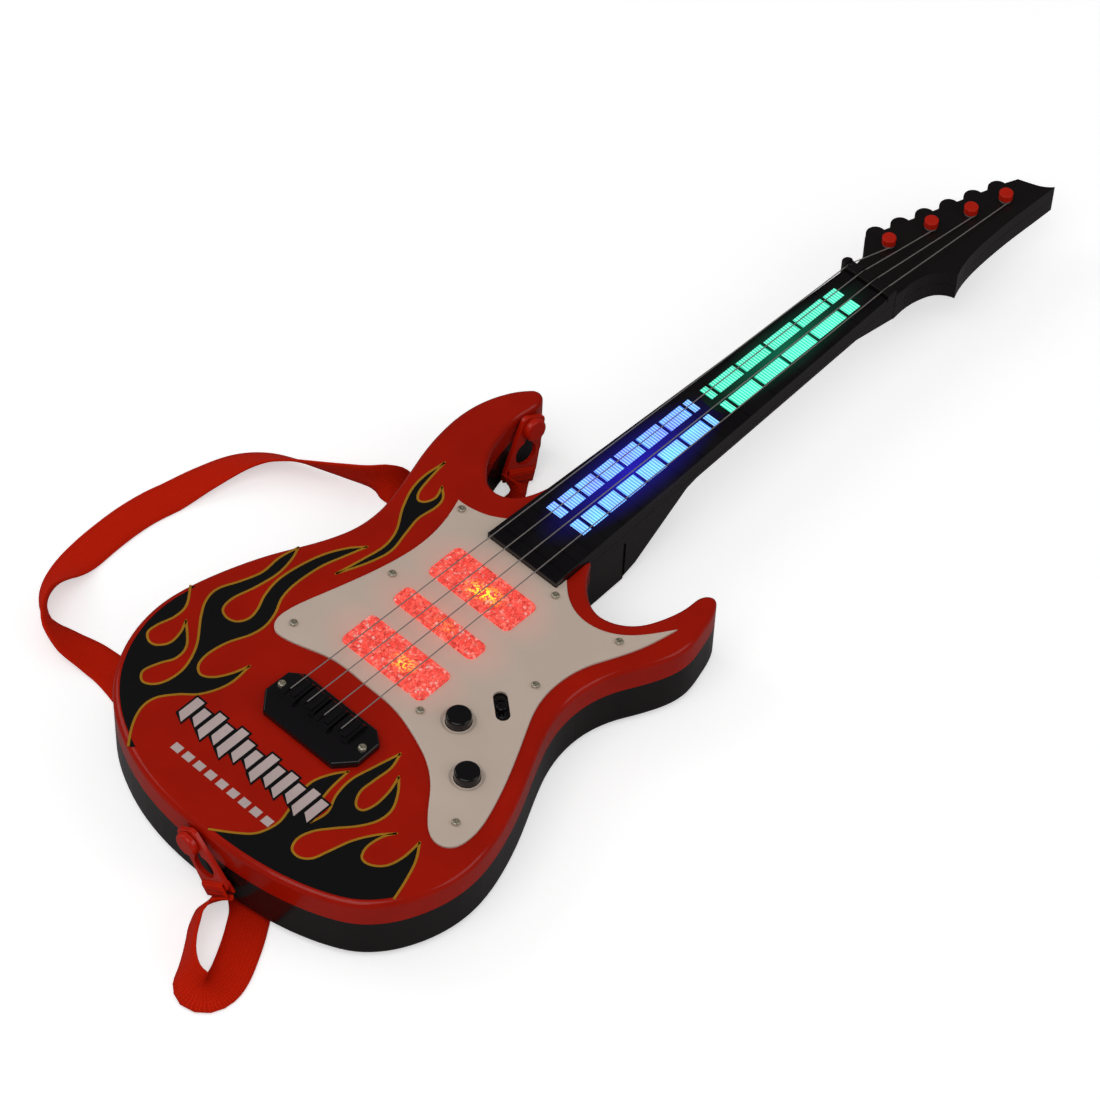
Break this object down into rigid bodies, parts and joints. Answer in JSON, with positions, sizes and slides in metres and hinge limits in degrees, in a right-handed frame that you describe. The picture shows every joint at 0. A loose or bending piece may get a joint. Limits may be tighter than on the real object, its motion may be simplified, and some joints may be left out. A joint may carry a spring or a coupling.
{
  "type": "toy electric guitar",
  "caption": "Light-up toy electric guitar with a double cutaway body, windowed neck, string pegs, push buttons, a slide switch and a webbing strap.",
  "frame": {"origin": "on the rest surface, under the middle of the guitar's bounding box without the strap", "axes": "+Z out of the decorated face, +Y along the neck to the headstock, +X to the side with the push buttons"},
  "size_m": [0.2704, 0.5947, 0.0449],
  "materials": {
    "red_gloss": "moulded, high gloss",
    "black_body": "moulded, satin gloss",
    "white_guard": "smooth sheet",
    "clear_red": "clear moulded acrylic, faceted",
    "circuit_board": "green solder mask",
    "red_lamp": "clear epoxy lamp",
    "white_lamp": "surface lamp",
    "black_gloss": "high gloss",
    "black_neck": "satin gloss",
    "screw_nickel": "nickel plated",
    "string_steel": "drawn wire",
    "blue_light": "ribbed light guide",
    "green_light": "ribbed light guide",
    "red_small": "moulded",
    "switch_metal": "pressed cans",
    "battery_sleeve": "printed sleeve",
    "spring_steel": "plated strip",
    "speaker_steel": "zinc plated",
    "speaker_paper": "pressed pulp",
    "ferrite": "sintered",
    "chip_black": "epoxy",
    "pad_rubber": "soft pad",
    "strap_red": "ribbed woven webbing"
  },
  "bodies": {
    "guitar": {"upper_shell": "red_gloss", "lower_shell": "black_body", "pickguard": "white_guard", "pickup_lens_neck": "clear_red", "pickup_lens_middle": "clear_red", "pickup_lens_bridge": "clear_red", "pickup_light_board": "circuit_board", "pickup_lamps": "red_lamp", "bridge_plate": "black_gloss", "bridge_saddles": "black_gloss", "bridge_screws": "screw_nickel", "strings": "string_steel", "neck_front": "black_neck", "neck_back": "black_neck", "fingerboard": "black_gloss", "blue_light_windows": "blue_light", "green_light_windows": "green_light", "neck_light_board": "circuit_board", "neck_lamps": "white_lamp", "nut": "black_neck", "control_board": "circuit_board", "control_switches": "switch_metal", "switch_plate": "black_neck", "batteries": "battery_sleeve", "battery_contacts": "spring_steel", "speaker_frame": "speaker_steel", "speaker_cone": "speaker_paper", "speaker_magnet": "ferrite", "main_board": "circuit_board", "main_board_parts": "chip_black", "pickguard_screws": "screw_nickel", "shell_screws": "screw_nickel", "neck_screws": "screw_nickel", "rest_pads": "pad_rubber", "strap_peg_butt": "red_small", "strap_peg_horn": "red_small", "strap_webbing": "strap_red"},
    "button_one": {"push_button_1": "black_gloss"},
    "button_two": {"push_button_2": "black_gloss"},
    "switch": {"switch_knob": "black_gloss"},
    "peg_one": {"string_peg_1": "red_small"},
    "peg_two": {"string_peg_2": "red_small"},
    "peg_three": {"string_peg_3": "red_small"},
    "peg_four": {"string_peg_4": "red_small"},
    "door": {"battery_door": "black_body", "battery_door_screw": "screw_nickel"},
    "butt_clip": {"strap_clip_butt": "red_small", "strap_loop_butt": "strap_red"},
    "horn_clip": {"strap_clip_horn": "red_small", "strap_loop_horn": "strap_red"}
  },
  "joints": [
    {"name": "press_button_one", "type": "slide", "parent": "guitar", "child": "button_one", "axis": [0, 0, -1], "range_m": [0, 0.0015], "stiffness_N_per_m": 400, "springref_m": -0.0005},
    {"name": "press_button_two", "type": "slide", "parent": "guitar", "child": "button_two", "axis": [0, 0, -1], "range_m": [0, 0.0015], "stiffness_N_per_m": 400, "springref_m": -0.0005},
    {"name": "slide_switch", "type": "slide", "parent": "guitar", "child": "switch", "axis": [0.7716, -0.6361, 0], "range_m": [-0.003, 0.003]},
    {"name": "turn_peg_one", "type": "hinge", "parent": "guitar", "child": "peg_one", "pos_m": [-0.0113, 0.1899, 0.0385], "axis": [0, 0, 1], "continuous": true},
    {"name": "turn_peg_two", "type": "hinge", "parent": "guitar", "child": "peg_two", "pos_m": [-0.0045, 0.2127, 0.0385], "axis": [0, 0, 1], "continuous": true},
    {"name": "turn_peg_three", "type": "hinge", "parent": "guitar", "child": "peg_three", "pos_m": [0.0031, 0.2329, 0.0385], "axis": [0, 0, 1], "continuous": true},
    {"name": "turn_peg_four", "type": "hinge", "parent": "guitar", "child": "peg_four", "pos_m": [0.009, 0.2517, 0.0385], "axis": [0, 0, 1], "continuous": true},
    {"name": "open_battery_door", "type": "hinge", "parent": "guitar", "child": "door", "pos_m": [-0.0008, -0.1646, 0.003], "axis": [-1, 0, 0], "range_deg": [0, 60]},
    {"name": "swing_butt_clip", "type": "hinge", "parent": "guitar", "child": "butt_clip", "pos_m": [0.0007, -0.2691, 0.0305], "axis": [0, -1, 0], "range_deg": [-15, 30]},
    {"name": "swing_horn_clip", "type": "hinge", "parent": "guitar", "child": "horn_clip", "pos_m": [-0.0601, -0.0052, 0.029], "axis": [0.9794, -0.1029, 0.1736], "range_deg": [-3, 15]}
  ]
}
